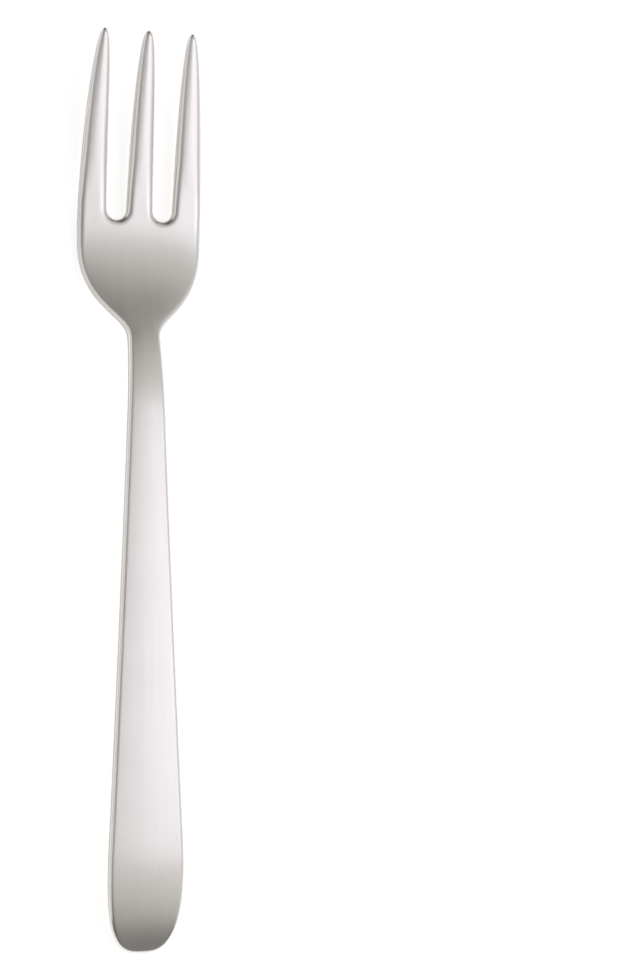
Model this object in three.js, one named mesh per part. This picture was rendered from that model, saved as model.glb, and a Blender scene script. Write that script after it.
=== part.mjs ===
// A serving fork of satin stainless steel, lying face up on a table.
// Millimetres: X runs across the fork, +Y from the handle to the tine tips and +Z up.
// The steel is one blank, bent along its length. It is kept as its named sections, which meet
// face to face in planes square to the bent metal.
import * as THREE from 'three';

// Lengths of the sections, measured along the bent metal from the handle's free end.
const END_LENGTH = 24.3;
const HANDLE_LENGTH = 115.5;
const NECK_LENGTH = 21.4;
const PALM_LENGTH = 32.6;
const TINE_LENGTH = 49.9;
// The part of the palm next to the slots that has the head's full width.
const ROOT_BAND = 6;
// How far beyond the straight handle the metal falls before it turns up again.
const DIP_LENGTH = 28;

// Widths across the fork.
const GRIP_WIDTH = 19.8;
const NECK_WIDTH = 8.7;
const HEAD_WIDTH = 33.3;
const MIDDLE_TINE_WIDTH = 7;
const SLOT_WIDTH = 5.5;
// How far the tip of an outer tine stands inward of its root.
const TINE_LEAN = 1.05;

// Thickness of the metal at the planes between the sections, and at both ends.
const END_THICKNESS = 2.5;
const HANDLE_THICKNESS = 3;
const NECK_THICKNESS = 3.3;
const ROOT_THICKNESS = 3.1;
const TIP_THICKNESS = 1.5;

// Slope of the metal against the straight handle, in degrees, rising towards the tips.
const END_SLOPE = 27.5;
const DIP_SLOPE = -23;
const ROOT_SLOPE = 8;
const TIP_SLOPE = 19.5;

// Rounding of the edges, doming of the upper face and depth of the flats that touch the table.
const EDGE_RADIUS = 1.1;
const HANDLE_CROWN = 0.25;
const TINE_CROWN = 0.45;
const REST_FLAT = 0.1;

// Curves of the outline: powers of the free end, the handle's taper and the tines' ogive, and how far
// the shoulder's curve is drawn along where it leaves the neck and where it reaches full width.
const END_FULLNESS = 2.9;
const HANDLE_TAPER = 1.16;
const TINE_OGIVE = 1.3;
const MIDDLE_BLUNTNESS = 0.32;
const OUTER_BLUNTNESS = 0.39;
const SHOULDER_START = 6.2;
const SHOULDER_EASE = 17;
// How far short of its point a rounded end is cut off square.
const END_BLUNT = 0.12;
const TIP_BLUNT = 0.15;
// How many times wider than high the edge rounding is on the tines, the share of the palm's length at
// which it starts to widen, and the share of a tine's length along which its doming rises.
const TINE_EASING = 1.6;
const EASING_START = 0.5;
const CROWN_RISE = 0.4;
// How upright the outline is trimmed where the metal slopes down to the palm: 0 is square to the metal.
const HEAD_TRIM = 0.9;
// The share of the edge rounding that is left at the bottom of a slot, and the largest share of
// half a cross-section that its rounding may take.
const RIM_LEAST = 0.1;
const ROUND_MOST = 0.98;

// How finely the curves are followed.
const CORNER_STEPS = 4;
const CROWN_STEPS = 4;
const END_STEPS = 14;
const HANDLE_STEPS = 8;
const NECK_STEPS = 8;
const SHOULDER_STEPS = 12;
const BAND_STEPS = 4;
const FLARE_STEPS = 6;
const BLADE_STEPS = 16;
const POINT_STEPS = 6;

const { lerp, smoothstep, degToRad } = THREE.MathUtils;

// Where each section starts along the bent metal.
const HANDLE_START = END_LENGTH;
const NECK_START = HANDLE_START + HANDLE_LENGTH;
const PALM_START = NECK_START + NECK_LENGTH;
const TINE_START = PALM_START + PALM_LENGTH;

// The bent centre line, as arcs that run on into each other, each from one slope to the next.
const arcs = [
  { length: END_LENGTH, from: END_SLOPE, to: 0 },
  { length: HANDLE_LENGTH, from: 0, to: 0 },
  { length: DIP_LENGTH, from: 0, to: DIP_SLOPE },
  { length: NECK_LENGTH + PALM_LENGTH - DIP_LENGTH, from: DIP_SLOPE, to: ROOT_SLOPE },
  { length: TINE_LENGTH, from: ROOT_SLOPE, to: TIP_SLOPE },
];

// How far one arc runs along and up, and the slope it has reached, at a distance from its start.
function alongArc(arc, distance) {
  const first = degToRad(arc.from);
  const bend = degToRad(arc.to - arc.from) / arc.length;
  const slope = first + bend * distance;
  const straight = bend === 0;
  const y = straight ? distance * Math.cos(first) : (Math.sin(slope) - Math.sin(first)) / bend;
  const z = straight ? distance * Math.sin(first) : (Math.cos(first) - Math.cos(slope)) / bend;
  return { y, z, slope };
}

// The point and slope at a distance along the bent metal.
function alongMetal(distance) {
  let left = distance;
  let start = { y: 0, z: 0 };
  for (const arc of arcs) {
    const { y, z, slope } = alongArc(arc, Math.min(left, arc.length));
    start = { y: start.y + y, z: start.z + z, slope };
    left -= arc.length;
    if (left <= 0) break;
  }
  return start;
}

// Evenly spaced distances from one to another, both included.
function spread(from, to, steps) {
  return Array.from({ length: steps + 1 }, (_, step) => lerp(from, to, step / steps));
}

// Distances that crowd towards the first one, for an outline that turns quickly there.
function crowd(from, to, steps) {
  return spread(0, Math.PI / 2, steps).map((angle) => lerp(to, from, Math.cos(angle)));
}

// How far a quarter circle that starts square to the way along has still to go, at a distance along.
function roundLeft(radius, distance) {
  const reach = Math.max(radius - distance, 0);
  return radius - Math.sqrt(radius ** 2 - reach ** 2);
}

// Half the width of the rounded free end, at a distance from it.
function endHalfWidth(distance) {
  const left = 1 - Math.max(distance, END_BLUNT) / END_LENGTH;
  return (GRIP_WIDTH / 2) * (1 - left ** END_FULLNESS) ** (1 / END_FULLNESS);
}

// Half the width of the handle and the neck, which taper as one, at a distance from the end section.
function handleHalfWidth(distance) {
  const left = 1 - distance / (HANDLE_LENGTH + NECK_LENGTH);
  return lerp(NECK_WIDTH / 2, GRIP_WIDTH / 2, left ** HANDLE_TAPER);
}

// One side of the palm, in one sweep from the neck to the full width: x along, y out.
function shoulderCurve() {
  const length = PALM_LENGTH - ROOT_BAND;
  const neck = new THREE.Vector2(0, NECK_WIDTH / 2);
  const start = new THREE.Vector2(SHOULDER_START, NECK_WIDTH / 2);
  const ease = new THREE.Vector2(length - SHOULDER_EASE, HEAD_WIDTH / 2);
  const full = new THREE.Vector2(length, HEAD_WIDTH / 2);
  return new THREE.CubicBezierCurve(neck, start, ease, full);
}

// The share of its root width that a tine keeps, at a distance from the root.
function tineTaper(distance, bluntness) {
  const left = Math.max(TINE_LENGTH - distance, TIP_BLUNT) / TINE_LENGTH;
  return (1 - (1 - left) ** TINE_OGIVE) ** bluntness;
}

// A cross-section of the metal, anticlockwise with x across and y up: a plate with rounded edges
// and a domed upper face. A rim is the share of the edge rounding that a side has, and easing how
// many times wider than high the rounding is.
function plateSection({ left, right, thickness, crown, leftRim = 1, rightRim = 1, easing = 1 }) {
  const middle = (left + right) / 2;
  const half = (right - left) / 2;
  const most = ROUND_MOST * Math.min(half / easing, thickness / 2);
  const leftRadius = Math.min(EDGE_RADIUS * leftRim, most);
  const rightRadius = Math.min(EDGE_RADIUS * rightRim, most);
  const corner = (x, y, radius, from) => {
    const arc = new THREE.EllipseCurve(x, y, radius * easing, radius, from, from + Math.PI / 2);
    return arc.getPoints(CORNER_STEPS);
  };
  const leftX = left + leftRadius * easing;
  const rightX = right - rightRadius * easing;
  const face = spread(rightX, leftX, CROWN_STEPS).slice(1, -1);
  const points = [
    ...corner(rightX, rightRadius - thickness / 2, rightRadius, -Math.PI / 2),
    ...corner(rightX, thickness / 2 - rightRadius, rightRadius, 0),
    ...face.map((x) => new THREE.Vector2(x, thickness / 2)),
    ...corner(leftX, thickness / 2 - leftRadius, leftRadius, Math.PI / 2),
    ...corner(leftX, leftRadius - thickness / 2, leftRadius, Math.PI),
  ];
  for (const point of points) {
    if (point.y > 0) point.y += crown * (1 - ((point.x - middle) / half) ** 2);
  }
  return points;
}

// The cross-sections of each section of the fork, as pairs of a distance from its start and a plate.
function endRings() {
  return [0, ...crowd(END_BLUNT, END_LENGTH, END_STEPS)].map((distance) => {
    const half = endHalfWidth(distance);
    const share = distance / END_LENGTH;
    const rounding = 2 * roundLeft(EDGE_RADIUS, distance);
    const thickness = lerp(END_THICKNESS, HANDLE_THICKNESS, share) - rounding;
    return [distance, { left: -half, right: half, thickness, crown: HANDLE_CROWN * share }];
  });
}

function handleRings() {
  return spread(0, HANDLE_LENGTH, HANDLE_STEPS).map((distance) => {
    const half = handleHalfWidth(distance);
    return [distance, { left: -half, right: half, thickness: HANDLE_THICKNESS, crown: HANDLE_CROWN }];
  });
}

function neckRings() {
  return spread(0, NECK_LENGTH, NECK_STEPS).map((distance) => {
    const half = handleHalfWidth(HANDLE_LENGTH + distance);
    const thickness = lerp(HANDLE_THICKNESS, NECK_THICKNESS, distance / NECK_LENGTH);
    return [distance, { left: -half, right: half, thickness, crown: HANDLE_CROWN }];
  });
}

function palmRings() {
  const shoulder = shoulderCurve().getPoints(SHOULDER_STEPS);
  const band = spread(PALM_LENGTH - ROOT_BAND, PALM_LENGTH, BAND_STEPS).slice(1);
  const outline = [...shoulder, ...band.map((distance) => new THREE.Vector2(distance, HEAD_WIDTH / 2))];
  return outline.map(({ x: distance, y: half }) => {
    const share = distance / PALM_LENGTH;
    const thickness = lerp(NECK_THICKNESS, ROOT_THICKNESS, share);
    const crown = HANDLE_CROWN * (1 - share);
    const easing = lerp(1, TINE_EASING, smoothstep(share, EASING_START, 1));
    return [distance, { left: -half, right: half, thickness, crown, easing }];
  });
}

// A tine on the left, in the middle or on the right: side is -1, 0 or 1. The round bottom of a slot
// widens the roots on both sides of it until they meet.
function tineRings(side) {
  const outerWidth = (HEAD_WIDTH - MIDDLE_TINE_WIDTH) / 2 - SLOT_WIDTH;
  const rootWidth = side ? outerWidth : MIDDLE_TINE_WIDTH;
  const rootCentre = side * ((HEAD_WIDTH - outerWidth) / 2);
  const slotRadius = SLOT_WIDTH / 2;
  const bluntness = side ? OUTER_BLUNTNESS : MIDDLE_BLUNTNESS;
  const blade = spread(slotRadius, TINE_LENGTH - TIP_BLUNT, BLADE_STEPS);
  const point = crowd(blade.at(-1), blade.at(-2), POINT_STEPS).reverse();
  const distances = [...crowd(0, slotRadius, FLARE_STEPS), ...blade.slice(1, -2), ...point];
  return distances.map((distance) => {
    const share = distance / TINE_LENGTH;
    const centre = rootCentre - side * TINE_LEAN * share ** 2;
    const taper = tineTaper(distance, bluntness);
    const half = (rootWidth / 2) * taper;
    const flare = roundLeft(slotRadius, distance);
    const rim = lerp(RIM_LEAST, 1, Math.min(distance / slotRadius, 1));
    const slotOnLeft = side > -1;
    const slotOnRight = side < 1;
    const plate = {
      left: centre - half - (slotOnLeft ? flare : 0),
      right: centre + half + (slotOnRight ? flare : 0),
      thickness: lerp(ROOT_THICKNESS, TIP_THICKNESS, share ** 3),
      crown: TINE_CROWN * smoothstep(share, 0, CROWN_RISE) * Math.sqrt(taper),
      leftRim: slotOnLeft ? rim : 1,
      rightRim: slotOnRight ? rim : 1,
      easing: TINE_EASING,
    };
    return [distance, plate];
  });
}

// A cross-section's point, x across and y up, on the bent metal.
function onMetal(place, point) {
  const y = place.y - Math.sin(place.slope) * point.y;
  const z = place.z + Math.cos(place.slope) * point.y;
  return new THREE.Vector3(point.x, y, z);
}

// The corner points of a section's cross-sections, one list for each. Where the metal slopes down, its
// upper side reaches further back than its under side, so that the outline stands upright.
function bentRings(start, rings) {
  return rings.map(([distance, plate]) => {
    const lean = HEAD_TRIM * Math.tan(Math.min(alongMetal(start + distance).slope, 0));
    return plateSection(plate).map((point) => {
      const reach = lean * (point.y + plate.thickness / 2);
      return onMetal(alongMetal(start + distance + reach), point);
    });
  });
}

const handleSections = {
  handle_end: bentRings(0, endRings()),
  handle: bentRings(HANDLE_START, handleRings()),
  neck: bentRings(NECK_START, neckRings()),
};
const headSections = {
  palm: bentRings(PALM_START, palmRings()),
  tine_left: bentRings(TINE_START, tineRings(-1)),
  tine_middle: bentRings(TINE_START, tineRings(0)),
  tine_right: bentRings(TINE_START, tineRings(1)),
};
const everyPoint = [...Object.values(handleSections), ...Object.values(headSections)].flat(2);

// The fork rests on the end of its handle and on its palm: the tilt brings both down to the table.
function restTilt(heel, belly) {
  const rise = (from, to) => (to.z - from.z) / (to.y - from.y);
  const lowest = (from) => Math.min(...belly.map((to) => rise(from, to)));
  return -Math.atan(Math.max(...heel.map(lowest)));
}

const acrossAxis = new THREE.Vector3(1, 0, 0);
const tilt = restTilt(handleSections.handle_end.flat(), headSections.palm.flat());
for (const point of everyPoint) point.applyAxisAngle(acrossAxis, tilt);

// The origin lies on the table under the middle of the fork, and the steel is flat where it would
// reach below the table.
const bounds = new THREE.Box3().setFromPoints(everyPoint);
const middleY = (bounds.min.y + bounds.max.y) / 2;
const tableZ = bounds.min.z + REST_FLAT;
for (const point of everyPoint) {
  point.y -= middleY;
  point.z = Math.max(point.z - tableZ, 0);
}

// A solid through its cross-sections, closed at both ends.
function loft(rings) {
  const size = rings[0].length;
  const positions = rings.flat().flatMap((point) => point.toArray());
  const faces = [];
  for (let ring = 0; ring < rings.length - 1; ring++) {
    for (let step = 0; step < size; step++) {
      const here = ring * size + step;
      const next = ring * size + ((step + 1) % size);
      faces.push(here, here + size, next, next, here + size, next + size);
    }
  }
  const last = (rings.length - 1) * size;
  for (let step = 1; step < size - 1; step++) {
    faces.push(0, step, step + 1);
    faces.push(last, last + step + 1, last + step);
  }
  const geometry = new THREE.BufferGeometry();
  geometry.setAttribute('position', new THREE.Float32BufferAttribute(positions, 3));
  geometry.setIndex(faces);
  geometry.computeVertexNormals();
  return geometry;
}

function satinSteel() {
  return new THREE.MeshStandardMaterial({ color: 0xcfccc8, metalness: 1, roughness: 0.34 });
}

// One group for each half of the fork, with a mesh for each of its sections.
function sectionGroup(name, sections) {
  const group = new THREE.Group();
  group.name = name;
  for (const [section, rings] of Object.entries(sections)) {
    const mesh = new THREE.Mesh(loft(rings), satinSteel());
    mesh.name = section;
    group.add(mesh);
  }
  return group;
}

const fork = new THREE.Group();
fork.name = 'serving_fork';
fork.add(sectionGroup('grip', handleSections), sectionGroup('head', headSections));

export default fork;
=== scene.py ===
"""A serving fork of satin stainless steel, laid face up on a pale table.

The flat blank is modelled in millimetres: X across, Y along the metal from the handle's free end and
Z up from the middle of the sheet. It is then formed, in the way a press does it, into the bent fork in
metres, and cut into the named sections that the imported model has.
"""

import logging
import math
from dataclasses import dataclass, field
from enum import Enum

import bpy
import numpy as np
from mathutils import Matrix, Vector

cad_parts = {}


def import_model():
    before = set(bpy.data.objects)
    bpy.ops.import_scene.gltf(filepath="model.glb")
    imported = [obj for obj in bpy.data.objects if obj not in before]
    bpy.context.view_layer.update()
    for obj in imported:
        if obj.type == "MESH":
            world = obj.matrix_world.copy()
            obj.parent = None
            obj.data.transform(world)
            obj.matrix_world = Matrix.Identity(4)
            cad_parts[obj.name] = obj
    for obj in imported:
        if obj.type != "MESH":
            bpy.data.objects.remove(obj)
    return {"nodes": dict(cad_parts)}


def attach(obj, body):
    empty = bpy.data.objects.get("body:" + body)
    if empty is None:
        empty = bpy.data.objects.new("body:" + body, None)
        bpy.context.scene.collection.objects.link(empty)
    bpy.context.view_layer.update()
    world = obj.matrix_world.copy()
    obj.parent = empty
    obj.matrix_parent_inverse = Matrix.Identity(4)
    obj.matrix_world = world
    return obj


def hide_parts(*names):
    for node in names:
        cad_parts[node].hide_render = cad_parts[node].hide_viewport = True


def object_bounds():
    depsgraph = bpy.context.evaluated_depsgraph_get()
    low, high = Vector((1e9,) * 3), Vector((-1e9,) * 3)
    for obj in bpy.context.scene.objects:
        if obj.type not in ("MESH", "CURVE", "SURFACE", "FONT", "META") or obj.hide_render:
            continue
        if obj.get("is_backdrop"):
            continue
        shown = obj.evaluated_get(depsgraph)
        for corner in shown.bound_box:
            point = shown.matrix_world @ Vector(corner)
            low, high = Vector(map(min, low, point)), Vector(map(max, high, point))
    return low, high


LOG = logging.getLogger("serving_fork")
MM = 0.001
GRAIN_MAP = "grain"
TRUE_NORMAL = "true_normal"
EDGE_DROP = "edge_drop"
LEAST_LEVEL = 1e-6
LEAST_LENGTH = 1e-9

# The places of a Mix node's sockets, for numbers and for colours
MIX_SHARE = 0
MIX_FIRST = 2
MIX_SECOND = 3
MIX_RESULT = 0
MIX_FIRST_COLOUR = 6
MIX_SECOND_COLOUR = 7
MIX_RESULT_COLOUR = 2


class Section(Enum):
    """The named sections of the fork, from the handle's free end to the tips."""

    HANDLE_END = "handle_end"
    HANDLE = "handle"
    NECK = "neck"
    PALM = "palm"
    TINE_LEFT = "tine_left"
    TINE_MIDDLE = "tine_middle"
    TINE_RIGHT = "tine_right"


class Side(Enum):
    """Which of the three tines, by the sign of its place across the fork."""

    LEFT = -1
    MIDDLE = 0
    RIGHT = 1


class Tint(Enum):
    """The colours of the studio's lights."""

    PLAIN = (1.0, 1.0, 1.0)
    COOL = (0.99, 1.0, 1.23)
    CLEAR = (0.97, 1.0, 1.06)


def only(obj: bpy.types.Object) -> None:
    """Makes one object the only selected one, and the active one.

    Args:
        obj: The object that the next operators act on.
    """
    bpy.ops.object.select_all(action="DESELECT")
    obj.select_set(True)
    bpy.context.view_layer.objects.active = obj


def points_of(mesh: bpy.types.Mesh) -> np.ndarray:
    """Reads the corners of a mesh.

    Args:
        mesh: The mesh to read.

    Returns:
        One row of x, y and z for each vertex.
    """
    flat = np.empty(len(mesh.vertices) * 3)
    mesh.vertices.foreach_get("co", flat)
    return flat.reshape(-1, 3)


def normals_of(mesh: bpy.types.Mesh) -> np.ndarray:
    """Reads the smooth normals of a mesh.

    Args:
        mesh: The mesh to read.

    Returns:
        One row of x, y and z for each vertex.
    """
    flat = np.empty(len(mesh.vertices) * 3)
    mesh.vertex_normals.foreach_get("vector", flat)
    return flat.reshape(-1, 3)


def place_points(mesh: bpy.types.Mesh, points: np.ndarray) -> None:
    """Writes the corners of a mesh.

    Args:
        mesh: The mesh to change.
        points: One row of x, y and z for each vertex.
    """
    mesh.vertices.foreach_set("co", points.ravel())
    mesh.update()


def ease(low: float, high: float, value: np.ndarray) -> np.ndarray:
    """Goes smoothly from 0 to 1.

    Args:
        low: The value up to which the result is 0.
        high: The value from which the result is 1.
        value: The values to ease.

    Returns:
        The eased values.
    """
    share = np.clip((value - low) / (high - low), 0, 1)
    return share * share * (3 - 2 * share)


@dataclass(frozen=True)
class Lengths:
    """Lengths along the bent metal and the slopes that it has, in millimetres and degrees."""

    end: float = 24.3
    handle: float = 115.5
    neck: float = 21.4
    palm: float = 32.6
    tine: float = 49.9
    root_band: float = 6.0
    dip: float = 28.0
    end_bend: float = 36.0
    end_slope: float = 29.5
    dip_slope: float = -23.0
    root_slope: float = 8.0
    tip_slope: float = 19.5

    @property
    def handle_start(self) -> float:
        """Where the straight handle starts along the metal."""
        return self.end

    @property
    def neck_start(self) -> float:
        """Where the neck starts along the metal."""
        return self.handle_start + self.handle

    @property
    def palm_start(self) -> float:
        """Where the palm starts along the metal."""
        return self.neck_start + self.neck

    @property
    def tine_start(self) -> float:
        """Where the slots start along the metal."""
        return self.palm_start + self.palm

    @property
    def whole(self) -> float:
        """The length of the metal from the handle's end to the tips."""
        return self.tine_start + self.tine


@dataclass(frozen=True)
class Widths:
    """Widths across the fork, thicknesses and the shapes of the outline, in millimetres."""

    grip: float = 19.8
    neck: float = 8.7
    head: float = 33.3
    middle_tine: float = 7.0
    slot: float = 5.5
    tine_lean: float = 1.05
    end_thick: float = 2.5
    handle_thick: float = 3.0
    neck_thick: float = 3.3
    root_thick: float = 3.1
    tip_thick: float = 1.5
    edge_radius: float = 1.1
    handle_crown: float = 0.25
    tine_crown: float = 0.48
    tine_ridge: float = 0.6
    end_fullness: float = 2.9
    handle_taper: float = 1.16
    tine_ogive: float = 1.3
    middle_bluntness: float = 0.32
    outer_bluntness: float = 0.39
    tip_blunt: float = 0.15
    shoulder_start: float = 6.2
    shoulder_ease: float = 17.0
    shoulder_drop: float = 0.4

    @property
    def outer_tine(self) -> float:
        """The width of an outer tine at its root."""
        return (self.head - self.middle_tine) / 2 - self.slot

    @property
    def outer_centre(self) -> float:
        """How far the middle of an outer tine's root is from the fork's middle."""
        return (self.head - self.outer_tine) / 2

    @property
    def slot_centre(self) -> float:
        """How far the middle of a slot is from the fork's middle."""
        return (self.middle_tine + self.slot) / 2


@dataclass(frozen=True)
class BentLine:
    """The bent line that the middle of the metal follows, as arcs that run on into each other."""

    lengths: Lengths
    samples: int = 6000
    bend_steps: int = 40
    bend_power: int = 2

    def arcs(self) -> tuple[np.ndarray, np.ndarray]:
        """Gives the arcs' ends.

        Returns:
            The distances along the metal at which the arcs meet, and the slopes there in radians.
        """
        size = self.lengths
        bend = np.linspace(0, size.end_bend, self.bend_steps)
        turn = size.end_slope * (1 - bend / size.end_bend) ** self.bend_power
        stops = [*bend, size.neck_start, size.neck_start + size.dip, size.tine_start, size.whole]
        slopes = [*turn, 0, size.dip_slope, size.root_slope, size.tip_slope]
        return np.array(stops), np.radians(slopes)

    def follow(self, distance: np.ndarray) -> tuple[np.ndarray, np.ndarray, np.ndarray]:
        """Follows the line.

        Args:
            distance: Distances along the metal.

        Returns:
            How far each is along and up, and the slope there.
        """
        stops, slopes = self.arcs()
        steps = np.linspace(0, stops[-1], self.samples)
        slope = np.interp(steps, stops, slopes)
        middle = (slope[1:] + slope[:-1]) / 2
        width = steps[1] - steps[0]
        along = np.concatenate([[0], np.cumsum(np.cos(middle) * width)])
        up = np.concatenate([[0], np.cumsum(np.sin(middle) * width)])
        return (
            np.interp(distance, steps, along),
            np.interp(distance, steps, up),
            np.interp(distance, stops, slopes),
        )


@dataclass
class Blank:
    """The flat blank: a sheet of one thickness with rounded edges, two slots and straight tines."""

    lengths: Lengths
    widths: Widths
    tine_cells: int = 4
    slot_cells: int = 10
    clear: float = 2.4
    end_clear: float = 3.6
    root_clear: float = 3.4
    rim_steps: int = 5
    rim_hold: float = 0.4
    tine_easing: float = 1.6
    easing_start: float = 0.5
    rows_end: int = 9
    rows_handle: int = 20
    rows_neck: int = 10
    rows_palm: int = 22
    rows_tine: int = 20
    root_fade: float = 12.0
    root_spread: float = 0.5
    tip_margin: float = 0.3
    curve_samples: int = 400
    end_fade_start: float = 0.6
    end_fade_stop: float = 1.6
    fan_start: float = 2.0
    fan_margin: float = 4.0
    end_evenness: float = 0.75
    slack: float = 0.01
    merge_gap: float = 0.001
    columns: np.ndarray = field(init=False)
    slot_columns: np.ndarray = field(init=False)
    rows: np.ndarray = field(init=False)

    def __post_init__(self) -> None:
        """Lays out the columns across the head and the rows along the metal."""
        self.columns, self.slot_columns = self.head_columns()
        self.rows = self.row_distances()

    @property
    def sheet(self) -> float:
        """The thickness of the blank before it is formed."""
        return self.widths.handle_thick

    def tine_places(self, centre: float, width: float) -> list[float]:
        """Lays out the columns of one tine.

        Args:
            centre: The place of the tine's middle across the fork.
            width: The tine's width at its root.

        Returns:
            The place of each of its columns across the fork.
        """
        half = width / 2
        inner = half - self.clear
        between = np.linspace(centre - inner, centre + inner, self.tine_cells - 1)
        return [centre - half, *between, centre + half]

    def slot_places(self, centre: float) -> list[float]:
        """Lays out the columns inside one slot, evenly round its bottom.

        Args:
            centre: The place of the slot's middle across the fork.

        Returns:
            The place of each of its columns across the fork.
        """
        turns = np.linspace(-math.pi / 2, math.pi / 2, self.slot_cells + 1)[1:-1]
        return list(centre + self.widths.slot / 2 * np.sin(turns))

    def head_columns(self) -> tuple[np.ndarray, np.ndarray]:
        """Lays out the columns of the head, which follow the edges of the slots.

        Returns:
            The place of each column across the fork, and for each cell whether it lies in a slot.
        """
        size = self.widths
        parts = [
            self.tine_places(-size.outer_centre, size.outer_tine),
            self.slot_places(-size.slot_centre),
            self.tine_places(0, size.middle_tine),
            self.slot_places(size.slot_centre),
            self.tine_places(size.outer_centre, size.outer_tine),
        ]
        tine_run = [False] * self.tine_cells
        slot_run = [True] * self.slot_cells
        return np.concatenate(parts), np.array(tine_run + slot_run + tine_run + slot_run + tine_run)

    def row_distances(self) -> np.ndarray:
        """Lays out the rows along the metal.

        Returns:
            The distance of each row from the handle's free end.
        """
        size = self.lengths
        root = size.tine_start
        return np.concatenate(
            [
                [0],
                np.linspace(self.end_clear, size.end, self.rows_end, endpoint=False),
                np.linspace(size.end, size.neck_start, self.rows_handle, endpoint=False),
                np.linspace(size.neck_start, size.palm_start, self.rows_neck, endpoint=False),
                np.linspace(size.palm_start, root - self.root_clear, self.rows_palm),
                np.linspace(root, size.whole - self.clear - self.tip_margin, self.rows_tine),
                [size.whole],
            ]
        )

    def half_width(self, distance: np.ndarray) -> np.ndarray:
        """Gives half the width of the body, without the rounding of the free end.

        Args:
            distance: Distances along the metal.

        Returns:
            Half the width at each.
        """
        size, run = self.widths, self.lengths
        left = np.clip(1 - (distance - run.end) / (run.handle + run.neck), 0, 1)
        handle = size.neck / 2 + (size.grip - size.neck) / 2 * left**size.handle_taper
        # The shoulder is one cubic curve, with its four guiding points in pull and out.
        turn = np.linspace(0, 1, self.curve_samples)
        reach = run.palm - run.root_band
        pull = np.array([0, size.shoulder_start, reach - size.shoulder_ease, reach])
        out = np.array([size.neck, size.neck, size.head, size.head]) / 2
        weights = np.stack([(1 - turn) ** 3, 3 * (1 - turn) ** 2 * turn, 3 * (1 - turn) * turn**2, turn**3])
        shoulder = np.interp(distance - run.palm_start, pull @ weights, out @ weights)
        body = np.where(distance < run.end, size.grip / 2, handle)
        return np.where(distance < run.palm_start, body, shoulder)

    def plan(self, column: np.ndarray, row: np.ndarray) -> np.ndarray:
        """Places the corners of the grid on the plan of the fork.

        Args:
            column: The number of each corner's column.
            row: The number of each corner's row.

        Returns:
            The place of each corner across and along.
        """
        size, run = self.widths, self.lengths
        along = self.rows[row]
        half = self.half_width(along)
        last = len(self.columns) - 1
        inner_head = self.columns[np.clip(column, 1, last - 1)]
        spread_out = (column - last / 2) / (last / 2 - 1)
        in_end = 1 - ease(run.end * self.end_fade_start, run.end * self.end_fade_stop, along)
        room = half - self.clear - (self.end_clear - self.clear) * in_end
        mix = ease(run.palm_start + self.fan_start, run.tine_start - self.fan_margin, along)
        across = room * ((1 - mix) * spread_out + mix * inner_head / (size.head / 2 - self.clear))
        across = np.where(column == 0, -half, np.where(column == last, half, across))

        # The free end is the end of a superellipse, with the rim's corners spread evenly round it.
        share = np.clip(1 - along / run.end, 0, 1)
        at_side = (column == 0) | (column == last)
        share = np.where(at_side, (share + np.sin(math.pi / 2 * share)) / 2, share)
        place = across / half
        even = 2 * column / last - 1
        place = np.where(row == 0, place * (1 - self.end_evenness) + self.end_evenness * even, place)
        power = size.end_fullness
        across = half * place * (1 - share**power / 2) ** (1 / power)
        rounded = share * (1 - np.abs(place) ** power / 2) ** (1 / power)
        along = np.where(along < run.end, run.end * (1 - rounded), along)

        # The rows near the slots rise round the slots' bottoms.
        radius, root = size.slot / 2, run.tine_start
        from_slot = self.columns[column] - np.sign(self.columns[column]) * size.slot_centre
        lift = radius - np.sqrt(radius**2 - np.clip(np.abs(from_slot), 0, radius) ** 2)
        near = ease(root - self.root_fade, root, along) * (1 - ease(root, root + self.root_fade, along))
        under = (np.abs(from_slot) < radius + self.slack) & (along < root - self.slack)
        across = across + np.where(under, from_slot * self.root_spread * near, 0)
        return np.stack([across, along + lift * near], axis=1)

    def build(self) -> bpy.types.Object:
        """Models the flat blank.

        Returns:
            The blank, as a closed mesh in millimetres.
        """
        across, along = len(self.columns) - 1, len(self.rows) - 1
        bpy.ops.object.select_all(action="DESELECT")
        bpy.ops.mesh.primitive_grid_add(x_subdivisions=across, y_subdivisions=along, size=2)
        blank = bpy.context.object
        blank.name = "fork_blank"
        self.open_slots(blank, across, along)
        self.round_edges(blank)
        self.mirror_under(blank)
        return blank

    def open_slots(self, blank: bpy.types.Object, across: int, along: int) -> None:
        """Lays the grid out on the fork's plan and takes the two slots out of it.

        Args:
            blank: The new grid.
            across: The number of its cells across.
            along: The number of its cells along.
        """
        mesh = blank.data
        # The new grid runs from -1 to 1 both ways.
        points = points_of(mesh)
        column = np.rint((points[:, 0] + 1) / 2 * across).astype(int)
        row = np.rint((points[:, 1] + 1) / 2 * along).astype(int)
        root_row = int(np.argmin(np.abs(self.rows - self.lengths.tine_start)))
        centres = np.empty(len(mesh.polygons) * 3)
        mesh.polygons.foreach_get("center", centres)
        cell = ((centres.reshape(-1, 3) + 1) / 2 * np.array([across, along, 1])).astype(int)
        in_slot = self.slot_columns[cell[:, 0]] & (cell[:, 1] >= root_row)
        plan = self.plan(column, row)
        place_points(mesh, np.column_stack([plan, np.full(len(plan), self.sheet / 2)]))
        only(blank)
        bpy.ops.object.mode_set(mode="EDIT")
        bpy.ops.mesh.select_mode(type="FACE")
        bpy.ops.mesh.select_all(action="DESELECT")
        bpy.ops.object.mode_set(mode="OBJECT")
        mesh.polygons.foreach_set("select", in_slot)
        bpy.ops.object.mode_set(mode="EDIT")
        bpy.ops.mesh.delete(type="FACE")
        bpy.ops.mesh.select_all(action="SELECT")
        bpy.ops.mesh.delete_loose()
        bpy.ops.object.mode_set(mode="OBJECT")

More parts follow.
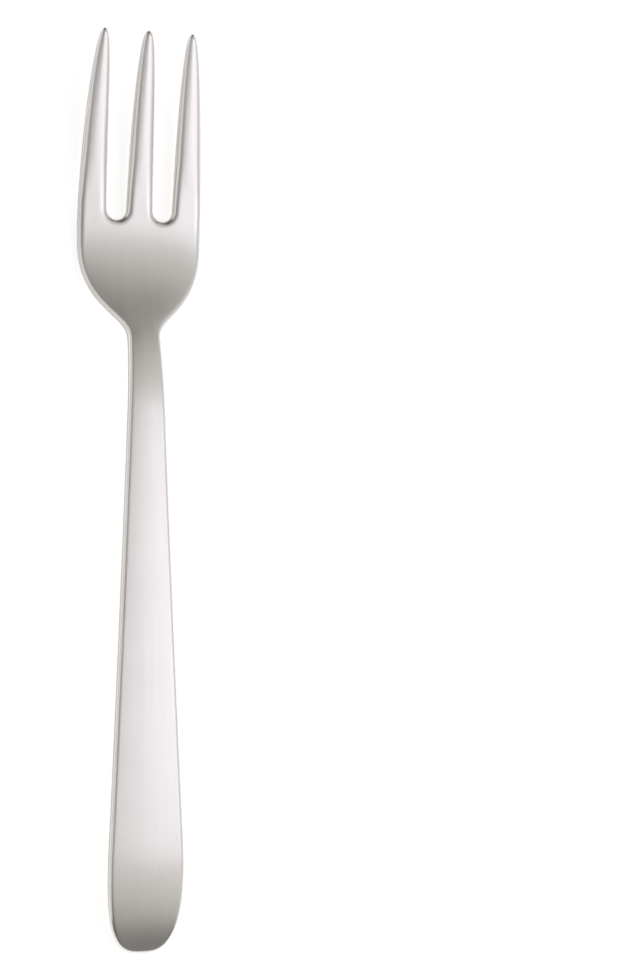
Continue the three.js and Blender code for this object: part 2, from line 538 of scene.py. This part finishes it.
    def outline(self, mesh: bpy.types.Mesh) -> tuple[np.ndarray, np.ndarray]:
        """Walks round the outline of the flat plan.

        Args:
            mesh: The flat plan.

        Returns:
            The outline's corners in order, and for each the way straight out of the metal.
        """
        uses: dict[tuple[int, int], int] = {}
        for face in mesh.polygons:
            for key in face.edge_keys:
                uses[key] = uses.get(key, 0) + 1
        beside: dict[int, list[int]] = {}
        for (first, second), count in uses.items():
            if count == 1:
                beside.setdefault(first, []).append(second)
                beside.setdefault(second, []).append(first)
        start = min(beside)
        loop, last, here = [start], None, start
        while True:
            ahead = [v for v in beside[here] if v != last][0]
            if ahead == start:
                break
            loop.append(ahead)
            last, here = here, ahead
        order = np.array(loop)
        flat = points_of(mesh)[order, :2]
        step = np.roll(flat, -1, axis=0) - flat
        step /= np.linalg.norm(step, axis=1)[:, None]
        out = np.stack([step[:, 1], -step[:, 0]], axis=1)
        ahead_xy = np.roll(flat, -1, axis=0)
        if np.sum(flat[:, 0] * ahead_xy[:, 1] - flat[:, 1] * ahead_xy[:, 0]) < 0:
            out = -out
        before = np.roll(out, 1, axis=0)
        return order, (out + before) / (1 + np.sum(out * before, axis=1))[:, None]

    def round_edges(self, blank: bpy.types.Object) -> None:
        """Draws the plan's rim out and down, round the upper edge to the middle of the sheet.

        Args:
            blank: The flat plan of the fork.
        """
        radius, top = self.widths.edge_radius, self.sheet / 2
        mesh = blank.data
        order, outward = self.outline(mesh)
        points = points_of(mesh)
        rim = points[order].copy()
        run = self.lengths
        soft = ease(run.palm_start + run.palm * self.easing_start, run.tine_start, rim[:, 1])
        spread = outward * (1 + (self.tine_easing - 1) * soft)[:, None]
        points[order, :2] -= spread * radius + outward * self.rim_hold
        place_points(mesh, points)
        turns = np.linspace(0, math.pi / 2, self.rim_steps + 1)
        profile = [(radius * (1 - math.sin(t)), top - radius * (1 - math.cos(t))) for t in turns]
        profile.append((0.0, 0.0))
        only(blank)
        bpy.ops.object.mode_set(mode="EDIT")
        bpy.ops.mesh.select_mode(type="EDGE")
        bpy.ops.mesh.select_all(action="DESELECT")
        bpy.ops.mesh.select_non_manifold(
            extend=False, use_wire=False, use_multi_face=False, use_non_contiguous=False, use_verts=False
        )
        before = points[order]
        for inside, height in profile:
            bpy.ops.mesh.extrude_region_move(TRANSFORM_OT_translate={"value": (0, 0, 0)})
            bpy.ops.object.mode_set(mode="OBJECT")
            points = points_of(mesh)
            chosen = np.empty(len(mesh.vertices), dtype=bool)
            mesh.vertices.foreach_get("select", chosen)
            drawn = np.flatnonzero(chosen)
            gaps = np.linalg.norm(points[drawn][:, None] - before[None], axis=2)
            after = np.column_stack([rim[:, :2] - spread * inside, np.full(len(rim), height)])
            points[drawn] = after[gaps.argmin(axis=1)]
            place_points(mesh, points)
            before = after
            bpy.ops.object.mode_set(mode="EDIT")
        bpy.ops.object.mode_set(mode="OBJECT")

    def mirror_under(self, blank: bpy.types.Object) -> None:
        """Adds the mirrored under side and smooths the blank.

        Args:
            blank: The upper half of the blank.
        """
        only(blank)
        mirror = blank.modifiers.new("under_side", "MIRROR")
        mirror.use_axis = (False, False, True)
        mirror.use_clip = True
        mirror.merge_threshold = self.merge_gap
        bpy.ops.object.modifier_apply(modifier=mirror.name)
        smooth = blank.modifiers.new("smooth", "SUBSURF")
        smooth.levels = 1
        smooth.render_levels = 1
        bpy.ops.object.modifier_apply(modifier=smooth.name)
        bpy.ops.object.mode_set(mode="EDIT")
        bpy.ops.mesh.select_all(action="SELECT")
        bpy.ops.mesh.normals_make_consistent(inside=False)
        bpy.ops.object.mode_set(mode="OBJECT")


@dataclass
class Forming:
    """What the press and the grinder make of the blank: tapered tines, domed faces and the bends."""

    lengths: Lengths
    widths: Widths
    line: BentLine
    rest_flat: float = 0.1
    trim: float = 0.9
    thin_power: int = 3
    lean_power: int = 2
    taper_run: float = 5.0
    ridge_start: float = 0.2
    crown_full: float = 0.35
    crown_power: float = 0.5
    grind_start: float = -3.0
    grind_full: float = 6.0
    grind_hold: float = 0.55
    grind_stop: float = 0.95
    grind_power: int = 4
    belly_stop: float = 0.9
    tilt_rounds: int = 6
    tilt: float = field(init=False, default=0.0)
    shift: np.ndarray = field(init=False, default_factory=lambda: np.zeros(2))

    def thickness(self, distance: np.ndarray) -> np.ndarray:
        """Gives the thickness of the metal.

        Args:
            distance: Distances along the metal.

        Returns:
            The thickness at each.
        """
        run, size = self.lengths, self.widths
        stops = [0, run.handle_start, run.neck_start, run.palm_start, run.tine_start]
        thick = [size.end_thick, size.handle_thick, size.handle_thick, size.neck_thick, size.root_thick]
        body = np.interp(distance, stops, thick)
        share = np.clip((distance - run.tine_start) / run.tine, 0, 1)
        return body + (size.tip_thick - size.root_thick) * share**self.thin_power

    def taper(self, distance: np.ndarray, side: np.ndarray) -> np.ndarray:
        """Gives the share of its root width that a tine keeps.

        Args:
            distance: Distances along the metal.
            side: The sign of each tine's place across the fork.

        Returns:
            The share at each.
        """
        run, size = self.lengths, self.widths
        left = np.clip(run.whole - distance, size.tip_blunt, run.tine) / run.tine
        bluntness = np.where(side == 0, size.middle_bluntness, size.outer_bluntness)
        share = (1 - (1 - left) ** size.tine_ogive) ** bluntness
        start = run.tine_start + size.slot / 2
        mix = ease(start, start + self.taper_run, distance)
        return 1 + (share - 1) * mix

    def grind(self, distance: np.ndarray, up: np.ndarray, outside: np.ndarray) -> np.ndarray:
        """Gives how much lower the shoulders' upper edge is ground.

        Args:
            distance: Distances along the metal.
            up: Heights above the middle of the metal.
            outside: The share of the way from the fork's middle to its edge.

        Returns:
            The depth that is ground away at each.
        """
        run = self.lengths
        past_neck = distance - run.palm_start
        fade = ease(run.palm * self.grind_hold, run.palm * self.grind_stop, past_neck)
        ground = ease(self.grind_start, self.grind_full, past_neck) * (1 - fade)
        height = np.clip(2 * up / self.thickness(distance), 0, 1)
        return self.widths.shoulder_drop * ground * outside**self.grind_power * height

    def shape(self, points: np.ndarray, half: np.ndarray) -> np.ndarray:
        """Tapers the tines, thins the metal and domes its upper face, while it is still straight.

        Args:
            points: The blank's corners.
            half: Half the width of the body at each.

        Returns:
            The corners of the straight fork.
        """
        run, size = self.lengths, self.widths
        across, along, up = points.T.copy()
        share = np.clip((along - run.tine_start) / run.tine, 0, 1)
        root = run.tine_start + size.slot / 2
        on_tine = along > root
        past_root = np.clip((along - root) / (run.whole - root), 0, 1)
        side = np.where(np.abs(across) > size.slot_centre, np.sign(across), 0)
        centre = side * size.outer_centre
        root_half = np.where(side == 0, size.middle_tine, size.outer_tine) / 2
        off = across - centre
        taper = self.taper(along, side)
        place = np.where(on_tine, off / root_half, across / half)
        lean = side * size.tine_lean * share**self.lean_power
        across = np.where(on_tine, centre - lean + off * taper, across)
        up = up * self.thickness(along) / size.handle_thick
        outside = np.clip(np.abs(place), 0, 1)
        dome = 1 - outside ** (2 - size.tine_ridge * ease(self.ridge_start, 1, past_root))
        palm_share = np.clip((along - run.palm_start) / run.palm, 0, 1)
        end_share = np.clip(along / run.end, 0, 1)
        crown = size.handle_crown * (1 - palm_share) * end_share
        crown = crown + size.tine_crown * ease(0.0, self.crown_full, past_root) * taper**self.crown_power
        up = np.where(up > 0, up + crown * dome - self.grind(along, up, outside), up)
        # Where the metal slopes down to the palm, the outline is trimmed more upright.
        down = np.minimum(self.line.follow(along)[2], 0)
        along = along + self.trim * np.tan(down) * (up + self.thickness(along) / 2)
        return np.stack([across, along, up], axis=1)

    def bend(self, points: np.ndarray) -> np.ndarray:
        """Bends the straight fork along its line.

        Args:
            points: The corners of the straight fork.

        Returns:
            The corners of the bent fork.
        """
        along, up, slope = self.line.follow(points[:, 1])
        height = points[:, 2]
        return np.stack([points[:, 0], along - np.sin(slope) * height, up + np.cos(slope) * height], axis=1)

    @staticmethod
    def turned(angle: float) -> np.ndarray:
        """Gives a turn in the upright plane along the fork.

        Args:
            angle: The angle of the turn, in radians.

        Returns:
            The turn, as two rows of two numbers.
        """
        return np.array([[math.cos(angle), -math.sin(angle)], [math.sin(angle), math.cos(angle)]])

    def lay_down(self, points: np.ndarray, low: Vector, high: Vector) -> np.ndarray:
        """Lays the bent fork on the table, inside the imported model's box, and changes it to metres.

        Args:
            points: The corners of the bent fork, in millimetres.
            low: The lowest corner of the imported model, in metres.
            high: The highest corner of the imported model, in metres.

        Returns:
            The corners of the fork where it rests.
        """
        run, along = self.lengths, points[:, 1]
        heel = points[along < run.end / 2][:, 1:]
        belly = points[(along > run.neck_start) & (along < run.whole * self.belly_stop)][:, 1:]
        tilt = 0.0
        for _ in range(self.tilt_rounds):
            turn = self.turned(tilt)
            back, front = heel @ turn.T, belly @ turn.T
            first, second = back[back[:, 1].argmin()], front[front[:, 1].argmin()]
            tilt -= math.atan2(second[1] - first[1], second[0] - first[0])
        self.tilt = tilt
        laid = points.copy()
        laid[:, 1:] = points[:, 1:] @ self.turned(tilt).T
        middle = (laid[:, 1].min() + laid[:, 1].max()) / 2 - (low.y + high.y) / 2 / MM
        floor = laid[:, 2].min() + self.rest_flat
        self.shift = np.array([middle, floor])
        laid[:, 1] -= middle
        laid[:, 2] -= floor
        return np.clip(laid * MM, low, high)

    def plane_at(self, distance: float) -> tuple[Vector, Vector]:
        """Gives the plane square to the metal at a distance along it, on the laid fork.

        Args:
            distance: The distance along the metal.

        Returns:
            A point of the plane and its normal towards the tips, in metres.
        """
        along, up, slope = (float(v) for v in self.line.follow(np.array(distance)))
        c, s = math.cos(self.tilt), math.sin(self.tilt)
        y = c * along - s * up - self.shift[0]
        z = s * along + c * up - self.shift[1]
        angle = slope + self.tilt
        return Vector((0, y * MM, z * MM)), Vector((0, math.cos(angle), math.sin(angle)))


@dataclass(frozen=True)
class SatinSteel:
    """Stainless steel, ground satin along the metal, with fine streaks, smoother edges and painted shade
    down the sides.
    """

    colour: tuple[float, float, float] = (0.829, 0.788, 0.731)
    roughness: float = 0.38
    edge_roughness: float = 0.2
    # Painted shade: the share of its colour that the steel keeps down its sides, dimming the table's
    # reflection there.
    painted_side_shade: float = 0.50
    anisotropy: float = 0.35
    streaks_across: float = 3200.0
    streaks_along: float = 22.0
    fine_share: float = 1.0
    fine_detail: float = 3.0
    coarse_share: float = 0.22
    coarse_detail: float = 2.0
    coarse_mix: float = 0.45
    cloud_scale: float = 60.0
    cloud_detail: float = 3.0
    cloud_mix: float = 0.4
    streak_low: float = 0.25
    streak_high: float = 0.75
    roughness_spread: float = 0.05
    worn_start: float = 0.0
    worn_stop: float = 0.12
    # Painted shade: how far down the edge the darkening of the sides starts, and where it is full.
    painted_shade_start: float = 0.3
    painted_shade_stop: float = 0.75
    bump_strength: float = 0.12
    bump_depth: float = 0.00002
    tone_low: float = 0.3
    tone_high: float = 0.7
    dark_tone: float = 0.94
    light_tone: float = 1.04

    def build(self) -> bpy.types.Material:
        """Makes the material.

        Returns:
            The steel.
        """
        steel = bpy.data.materials.new("satin_steel")
        steel.use_nodes = True
        tree = steel.node_tree
        shader = tree.nodes["Principled BSDF"]
        shader.inputs["Metallic"].default_value = 1.0
        shader.inputs["Anisotropic"].default_value = self.anisotropy
        grain = tree.nodes.new("ShaderNodeUVMap")
        grain.uv_map = GRAIN_MAP
        across = tree.nodes.new("ShaderNodeTangent")
        across.direction_type = "UV_MAP"
        across.uv_map = GRAIN_MAP
        tree.links.new(across.outputs["Tangent"], shader.inputs["Tangent"])
        fine = self.streaks(tree, grain, self.fine_share, self.fine_detail)
        coarse = self.streaks(tree, grain, self.coarse_share, self.coarse_detail)
        cloud = tree.nodes.new("ShaderNodeTexNoise")
        cloud.inputs["Scale"].default_value = self.cloud_scale
        cloud.inputs["Detail"].default_value = self.cloud_detail
        tree.links.new(grain.outputs["UV"], cloud.inputs["Vector"])
        both = self.join(tree, fine, coarse, self.coarse_mix)
        self.colour_in(tree, shader, both, cloud.outputs["Fac"])
        rough = tree.nodes.new("ShaderNodeMapRange")
        rough.inputs["From Min"].default_value = self.streak_low
        rough.inputs["From Max"].default_value = self.streak_high
        rough.inputs["To Min"].default_value = self.roughness - self.roughness_spread
        rough.inputs["To Max"].default_value = self.roughness + self.roughness_spread
        tree.links.new(both, rough.inputs["Value"])
        worn = tree.nodes.new("ShaderNodeMix")
        worn.inputs[MIX_SECOND].default_value = self.edge_roughness
        tree.links.new(self.down_the_edge(tree, self.worn_start, self.worn_stop), worn.inputs[MIX_SHARE])
        tree.links.new(rough.outputs["Result"], worn.inputs[MIX_FIRST])
        tree.links.new(worn.outputs[MIX_RESULT], shader.inputs["Roughness"])
        bump = tree.nodes.new("ShaderNodeBump")
        bump.inputs["Strength"].default_value = self.bump_strength
        bump.inputs["Distance"].default_value = self.bump_depth
        tree.links.new(both, bump.inputs["Height"])
        tree.links.new(bump.outputs["Normal"], shader.inputs["Normal"])
        return steel

    def streaks(
        self, tree: bpy.types.NodeTree, grain: bpy.types.Node, share: float, detail: float
    ) -> bpy.types.NodeSocket:
        """Adds a noise that is drawn out along the metal.

        Args:
            tree: The material's nodes.
            grain: The node that gives the place on the metal.
            share: The share of the full fineness across the metal.
            detail: The noise's detail.

        Returns:
            The noise, around a half.
        """
        stretch = tree.nodes.new("ShaderNodeMapping")
        across, along = self.streaks_across * share, self.streaks_along * math.sqrt(share)
        stretch.inputs["Scale"].default_value = (across, along, 1)
        noise = tree.nodes.new("ShaderNodeTexNoise")
        noise.inputs["Scale"].default_value = 1.0
        noise.inputs["Detail"].default_value = detail
        tree.links.new(grain.outputs["UV"], stretch.inputs["Vector"])
        tree.links.new(stretch.outputs["Vector"], noise.inputs["Vector"])
        return noise.outputs["Fac"]

    def join(
        self,
        tree: bpy.types.NodeTree,
        first: bpy.types.NodeSocket,
        second: bpy.types.NodeSocket,
        share: float,
    ) -> bpy.types.NodeSocket:
        """Mixes two values.

        Args:
            tree: The material's nodes.
            first: The value that is there in full at a share of 0.
            second: The value that is there in full at a share of 1.
            share: The share of the second value.

        Returns:
            The mixed value.
        """
        mix = tree.nodes.new("ShaderNodeMix")
        mix.inputs[MIX_SHARE].default_value = share
        tree.links.new(first, mix.inputs[MIX_FIRST])
        tree.links.new(second, mix.inputs[MIX_SECOND])
        return mix.outputs[MIX_RESULT]

    def colour_in(
        self,
        tree: bpy.types.NodeTree,
        shader: bpy.types.Node,
        streak: bpy.types.NodeSocket,
        cloud: bpy.types.NodeSocket,
    ) -> None:
        """Gives the steel its colour, darker along some streaks and in faint clouds, with painted shade down
        the sides.

        Args:
            tree: The material's nodes.
            shader: The steel's shader.
            streak: The streaks' value.
            cloud: The clouds' value.
        """
        value = self.join(tree, streak, cloud, self.cloud_mix)
        tone = tree.nodes.new("ShaderNodeValToRGB")
        low, high = tone.color_ramp.elements
        low.position, high.position = self.tone_low, self.tone_high
        low.color = (*(c * self.dark_tone for c in self.colour), 1)
        high.color = (*(min(c * self.light_tone, 1) for c in self.colour), 1)
        # Painted shade: the colour is multiplied darker down the rounded edges and sides, to dim the table's
        # reflection there.
        side = tree.nodes.new("ShaderNodeMix")
        side.data_type, side.blend_type = "RGBA", "MULTIPLY"
        side.inputs[MIX_SECOND_COLOUR].default_value = (*(self.painted_side_shade,) * 3, 1)
        tree.links.new(value, tone.inputs["Fac"])
        tree.links.new(self.down_the_edge(tree, self.painted_shade_start, self.painted_shade_stop), side.inputs[MIX_SHARE])
        tree.links.new(tone.outputs["Color"], side.inputs[MIX_FIRST_COLOUR])
        tree.links.new(side.outputs[MIX_RESULT_COLOUR], shader.inputs["Base Color"])

    def down_the_edge(self, tree: bpy.types.NodeTree, start: float, stop: float) -> bpy.types.NodeSocket:
        """Rises from 0 to 1 down the rounded edge of the metal.

        Args:
            tree: The material's nodes.
            start: The share of the half thickness at which the rise starts.
            stop: The share of the half thickness at which it is done.

        Returns:
            The value.
        """
        edge = tree.nodes.new("ShaderNodeAttribute")
        edge.attribute_name = EDGE_DROP
        rise = tree.nodes.new("ShaderNodeMapRange")
        rise.inputs["From Min"].default_value = start
        rise.inputs["From Max"].default_value = stop
        tree.links.new(edge.outputs["Fac"], rise.inputs["Value"])
        return rise.outputs["Result"]


@dataclass
class ServingFork:
    """The whole fork: one blank, formed as one and kept as its named sections."""

    lengths: Lengths = field(default_factory=Lengths)
    widths: Widths = field(default_factory=Widths)
    finish: SatinSteel = field(default_factory=SatinSteel)
    root_gap: float = 0.2
    cut_tolerance: float = 1e-7
    flat_limit: float = 0.5
    cap_corners: int = 8

    def build(self, low: Vector, high: Vector) -> dict[Section, bpy.types.Object]:
        """Models the fork and cuts it into its sections.

        Args:
            low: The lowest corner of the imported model.
            high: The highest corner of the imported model.

        Returns:
            The piece for each section.
        """
        blank = Blank(self.lengths, self.widths)
        fork = blank.build()
        forming = Forming(self.lengths, self.widths, BentLine(self.lengths))
        self.mark_grain(fork.data, blank.sheet)
        points = points_of(fork.data)
        straight = forming.shape(points, blank.half_width(points[:, 1]))
        place_points(fork.data, forming.lay_down(forming.bend(straight), low, high))
        only(fork)
        bpy.ops.object.shade_smooth()
        self.keep_normals(fork.data)
        steel = self.finish.build()
        pieces = self.cut(fork, forming)
        for section, piece in pieces.items():
            piece.name = f"satin_{section.value}"
            piece.data.name = piece.name
            piece.data.materials.clear()
            piece.data.materials.append(steel)
            self.restore_normals(piece.data)
        return pieces

    def mark_grain(self, mesh: bpy.types.Mesh, sheet: float) -> None:
        """Unrolls the blank into a map in metres, across and along, and marks its rounded edges.

        Args:
            mesh: The flat blank.
            sheet: The blank's thickness.
        """
        points, normals = points_of(mesh), normals_of(mesh)
        level = np.hypot(normals[:, 0], normals[:, 1])
        outward = normals[:, :2] / np.maximum(level, LEAST_LEVEL)[:, None]
        drop = np.clip(sheet / 2 - np.abs(points[:, 2]), 0, None)
        unrolled = (points[:, :2] + outward * drop[:, None]) * MM
        corners = np.empty(len(mesh.loops), dtype=np.int32)
        mesh.loops.foreach_get("vertex_index", corners)
        layer = mesh.uv_layers.new(name=GRAIN_MAP)
        layer.uv.foreach_set("vector", unrolled[corners].ravel())
        edge = mesh.attributes.new(EDGE_DROP, "FLOAT", "POINT")
        edge.data.foreach_set("value", drop / (sheet / 2))

    def keep_normals(self, mesh: bpy.types.Mesh) -> None:
        """Keeps the whole fork's smooth normals on its corners, for the sections to share.

        Args:
            mesh: The whole fork.
        """
        kept = mesh.attributes.new(TRUE_NORMAL, "FLOAT_VECTOR", "POINT")
        kept.data.foreach_set("vector", normals_of(mesh).ravel())

    def cut(self, fork: bpy.types.Object, forming: Forming) -> dict[Section, bpy.types.Object]:
        """Cuts the fork into its sections by planes square to the metal.

        Args:
            fork: The whole fork.
            forming: How the fork was formed.

        Returns:
            The piece for each section.
        """
        run = self.lengths
        stops = {
            Section.HANDLE_END: (None, run.handle_start),
            Section.HANDLE: (run.handle_start, run.neck_start),
            Section.NECK: (run.neck_start, run.palm_start),
            Section.PALM: (run.palm_start, run.tine_start + self.root_gap),
        }
        pieces = {}
        for section, (start, stop) in stops.items():
            pieces[section] = self.piece_between(fork, forming, start, stop)
        tines = {
            Section.TINE_LEFT: Side.LEFT,
            Section.TINE_MIDDLE: Side.MIDDLE,
            Section.TINE_RIGHT: Side.RIGHT,
        }
        for section, side in tines.items():
            tine = self.piece_between(fork, forming, run.tine_start + self.root_gap, None)
            self.keep_tine(tine, side)
            pieces[section] = tine
        bpy.data.objects.remove(fork, do_unlink=True)
        return pieces

    def piece_between(
        self, fork: bpy.types.Object, forming: Forming, start: float | None, stop: float | None
    ) -> bpy.types.Object:
        """Copies the fork and keeps what lies between two planes.

        Args:
            fork: The whole fork.
            forming: How the fork was formed.
            start: The distance of the first plane, or None at the handle's end.
            stop: The distance of the last plane, or None at the tips.

        Returns:
            The piece, closed at its cuts.
        """
        piece = fork.copy()
        piece.data = fork.data.copy()
        bpy.context.collection.objects.link(piece)
        only(piece)
        for distance, clear in ((start, "clear_inner"), (stop, "clear_outer")):
            if distance is None:
                continue
            point, normal = forming.plane_at(distance)
            bpy.ops.object.mode_set(mode="EDIT")
            bpy.ops.mesh.select_mode(type="FACE")
            bpy.ops.mesh.select_all(action="SELECT")
            bpy.ops.mesh.bisect(
                plane_co=point,
                plane_no=normal,
                use_fill=True,
                threshold=self.cut_tolerance,
                **{clear: True},
            )
            bpy.ops.object.mode_set(mode="OBJECT")
        return piece

    def keep_tine(self, piece: bpy.types.Object, side: Side) -> None:
        """Keeps one of the three tines.

        Args:
            piece: All three tines.
            side: The tine to keep.
        """
        mesh = piece.data
        centres = np.empty(len(mesh.polygons) * 3)
        mesh.polygons.foreach_get("center", centres)
        across = centres[0::3]
        middle = self.widths.slot_centre * MM
        right, left = across > middle, across < -middle
        place = np.where(right, Side.RIGHT.value, np.where(left, Side.LEFT.value, Side.MIDDLE.value))
        bpy.ops.object.mode_set(mode="EDIT")
        bpy.ops.mesh.select_all(action="DESELECT")
        bpy.ops.object.mode_set(mode="OBJECT")
        mesh.polygons.foreach_set("select", place != side.value)
        bpy.ops.object.mode_set(mode="EDIT")
        bpy.ops.mesh.delete(type="FACE")
        bpy.ops.object.mode_set(mode="OBJECT")

    def restore_normals(self, mesh: bpy.types.Mesh) -> None:
        """Gives a section the whole fork's normals, so that no seam shows, and its cuts flat ones.

        Args:
            mesh: The section's mesh.
        """
        kept = np.empty(len(mesh.vertices) * 3)
        mesh.attributes[TRUE_NORMAL].data.foreach_get("vector", kept)
        kept = kept.reshape(-1, 3)
        kept /= np.maximum(np.linalg.norm(kept, axis=1), LEAST_LENGTH)[:, None]
        corners = np.empty(len(mesh.loops), dtype=np.int32)
        mesh.loops.foreach_get("vertex_index", corners)
        wanted = kept[corners]
        for face in mesh.polygons:
            square = face.normal.dot(Vector(kept[face.vertices[0]])) < self.flat_limit
            if square or face.loop_total > self.cap_corners:
                wanted[face.loop_start : face.loop_start + face.loop_total] = face.normal
        mesh.attributes.remove(mesh.attributes[TRUE_NORMAL])
        mesh.normals_split_custom_set(wanted.tolist())


@dataclass(frozen=True)
class PaleFinish:
    """The table's finish, which the camera and the steel see nearly white."""

    tone: float = 0.82
    roughness: float = 0.9
    glow: float = 0.60

    def build(self) -> bpy.types.Material:
        """Makes the material.

        Returns:
            The finish.
        """
        pale = bpy.data.materials.new("pale_table")
        pale.use_nodes = True
        tree = pale.node_tree
        shader = tree.nodes["Principled BSDF"]
        shader.inputs["Base Color"].default_value = (*(self.tone,) * 3, 1)
        shader.inputs["Roughness"].default_value = self.roughness
        shader.inputs["Specular IOR Level"].default_value = 0.0
        shader.inputs["Emission Color"].default_value = (1, 1, 1, 1)
        path = tree.nodes.new("ShaderNodeLightPath")
        seen = path.outputs["Is Camera Ray"]
        for name in ("Is Glossy Ray", "Is Transmission Ray"):
            either = tree.nodes.new("ShaderNodeMath")
            either.operation = "MAXIMUM"
            tree.links.new(seen, either.inputs[0])
            tree.links.new(path.outputs[name], either.inputs[1])
            seen = either.outputs[0]
        level = tree.nodes.new("ShaderNodeMath")
        level.operation = "MULTIPLY"
        level.inputs[1].default_value = self.glow
        tree.links.new(seen, level.inputs[0])
        tree.links.new(level.outputs[0], shader.inputs["Emission Strength"])
        return pale


@dataclass(frozen=True)
class SoftLight:
    """One rectangular soft light, in metres. Its radiance is how bright its face is, where 1 is white.

    Without an aim it points straight down at the table.
    """

    name: str
    place: tuple[float, float, float]
    size: tuple[float, float]
    radiance: float
    tint: Tint = Tint.PLAIN
    aim: tuple[float, float, float] | None = None

    def hang(self) -> None:
        """Hangs the light in its place and turns it to its aim."""
        lamp = bpy.data.lights.new(self.name, "AREA")
        lamp.shape = "RECTANGLE"
        lamp.size, lamp.size_y = self.size
        lamp.energy = self.radiance * math.pi * self.size[0] * self.size[1]
        lamp.color = self.tint.value
        box = bpy.data.objects.new(self.name, lamp)
        bpy.context.collection.objects.link(box)
        box.location = self.place
        aim = self.aim or (self.place[0], self.place[1], 0.0)
        down = (Vector(aim) - Vector(self.place)).normalized()
        side = Vector((0, 1, 0)).cross(-down).normalized()
        turn = Matrix((side, (-down).cross(side), -down)).transposed()
        box.rotation_euler = turn.to_euler()


@dataclass(frozen=True)
class Studio:
    """The pale table, the soft lights and the camera, in metres, with the camera's sensor in millimetres."""

    eye: tuple[float, float, float] = (-0.13419, -0.06445, 0.58722)
    up: tuple[float, float, float] = (-0.0202, 0.9940, 0.1078)
    ahead: tuple[float, float, float] = (0.297895, 0.109125, -0.948333)
    focal_pixels: float = 2289.1
    long_side: int = 964
    sensor: float = 36.0
    nearest: float = 0.01
    farthest: float = 60.0
    table_reach: float = 14.0
    table_corners: int = 96
    pale_up_to: float = 0.02
    dim_from: float = 0.08
    pale_level: float = 0.72
    dim_level: float = 0.146
    table_finish: PaleFinish = field(default_factory=PaleFinish)
    lights: tuple[SoftLight, ...] = (
        SoftLight("overhead_softbox", (0.42, -0.0475, 0.70), (0.62, 0.375), 0.935, Tint.COOL),
        SoftLight("overhead_front_box", (0.42, -0.345, 0.715), (0.62, 0.97), 0.56),
        SoftLight("overhead_back_box", (0.42, 0.41, 0.715), (0.62, 0.54), 0.50),
        SoftLight("overhead_strip", (0.085, -0.05, 0.705), (0.15, 0.9), 0.52),
        SoftLight("left_card", (-0.70, 0.0, 0.40), (0.62, 1.6), 0.66, Tint.CLEAR, aim=(0.0, 0.0, 0.0)),
        SoftLight("overhead_left_fill", (-0.31, 0.0, 0.70), (0.52, 0.9), 0.15),
        SoftLight("right_card", (0.80, -0.05, 0.34), (0.55, 1.6), 0.58, Tint.CLEAR, aim=(0.0, -0.05, 0.0)),
        SoftLight("back_card", (0.45, 0.9, 0.5), (0.8, 0.4), 0.26, aim=(0.0, 0.0, 0.0)),
    )

    def build(self) -> None:
        """Sets up the table, the lights, the surroundings and the camera."""
        self.lay_table()
        for light in self.lights:
            light.hang()
        self.dim_surroundings()
        self.stand_camera()

    def lay_table(self) -> None:
        """Lays a wide round pale table under the fork."""
        bpy.ops.object.select_all(action="DESELECT")
        bpy.ops.mesh.primitive_circle_add(
            vertices=self.table_corners, radius=self.table_reach, fill_type="NGON"
        )
        table = bpy.context.object
        table.name = "pale_table"
        table.data.materials.append(self.table_finish.build())
        table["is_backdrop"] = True

    def dim_surroundings(self) -> None:
        """Fills the room with a dim grey that turns pale low down, where the table ends."""
        world = bpy.data.worlds.new("studio")
        bpy.context.scene.world = world
        world.use_nodes = True
        tree = world.node_tree
        back = tree.nodes["Background"]
        aim = tree.nodes.new("ShaderNodeTexCoord")
        parts = tree.nodes.new("ShaderNodeSeparateXYZ")
        tone = tree.nodes.new("ShaderNodeValToRGB")
        low, high = tone.color_ramp.elements
        low.position, high.position = self.pale_up_to, self.dim_from
        low.color = (*(self.pale_level,) * 3, 1)
        high.color = (*(self.dim_level,) * 3, 1)
        tree.links.new(aim.outputs["Generated"], parts.inputs["Vector"])
        tree.links.new(parts.outputs["Z"], tone.inputs["Fac"])
        tree.links.new(tone.outputs["Color"], back.inputs["Color"])

    def stand_camera(self) -> None:
        """Stands the camera over the fork, a little to its left and towards its handle."""
        lens = bpy.data.cameras.new("camera")
        lens.sensor_width = self.sensor
        lens.lens = self.focal_pixels / self.long_side * lens.sensor_width
        lens.clip_start, lens.clip_end = self.nearest, self.farthest
        camera = bpy.data.objects.new("camera", lens)
        bpy.context.collection.objects.link(camera)
        ahead = Vector(self.ahead).normalized()
        right = ahead.cross(Vector(self.up)).normalized()
        turn = Matrix((right, right.cross(ahead), -ahead)).transposed()
        camera.matrix_world = Matrix.Translation(Vector(self.eye)) @ turn.to_4x4()
        bpy.context.scene.camera = camera


def main() -> None:
    """Builds the fork and its studio."""
    logging.basicConfig(level=logging.INFO, format="%(name)s: %(message)s")
    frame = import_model()
    low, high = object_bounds()
    bpy.context.scene.view_settings.view_transform = "Standard"
    pieces = ServingFork().build(low, high)
    for section, piece in pieces.items():
        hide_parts(section.value)
        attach(piece, "root")
        LOG.info("%s stands for %s, %d faces", piece.name, section.value, len(piece.data.polygons))
    Studio().build()
    LOG.info("%d packed nodes are dressed", len(frame["nodes"]))


if __name__ == "__main__":
    main()
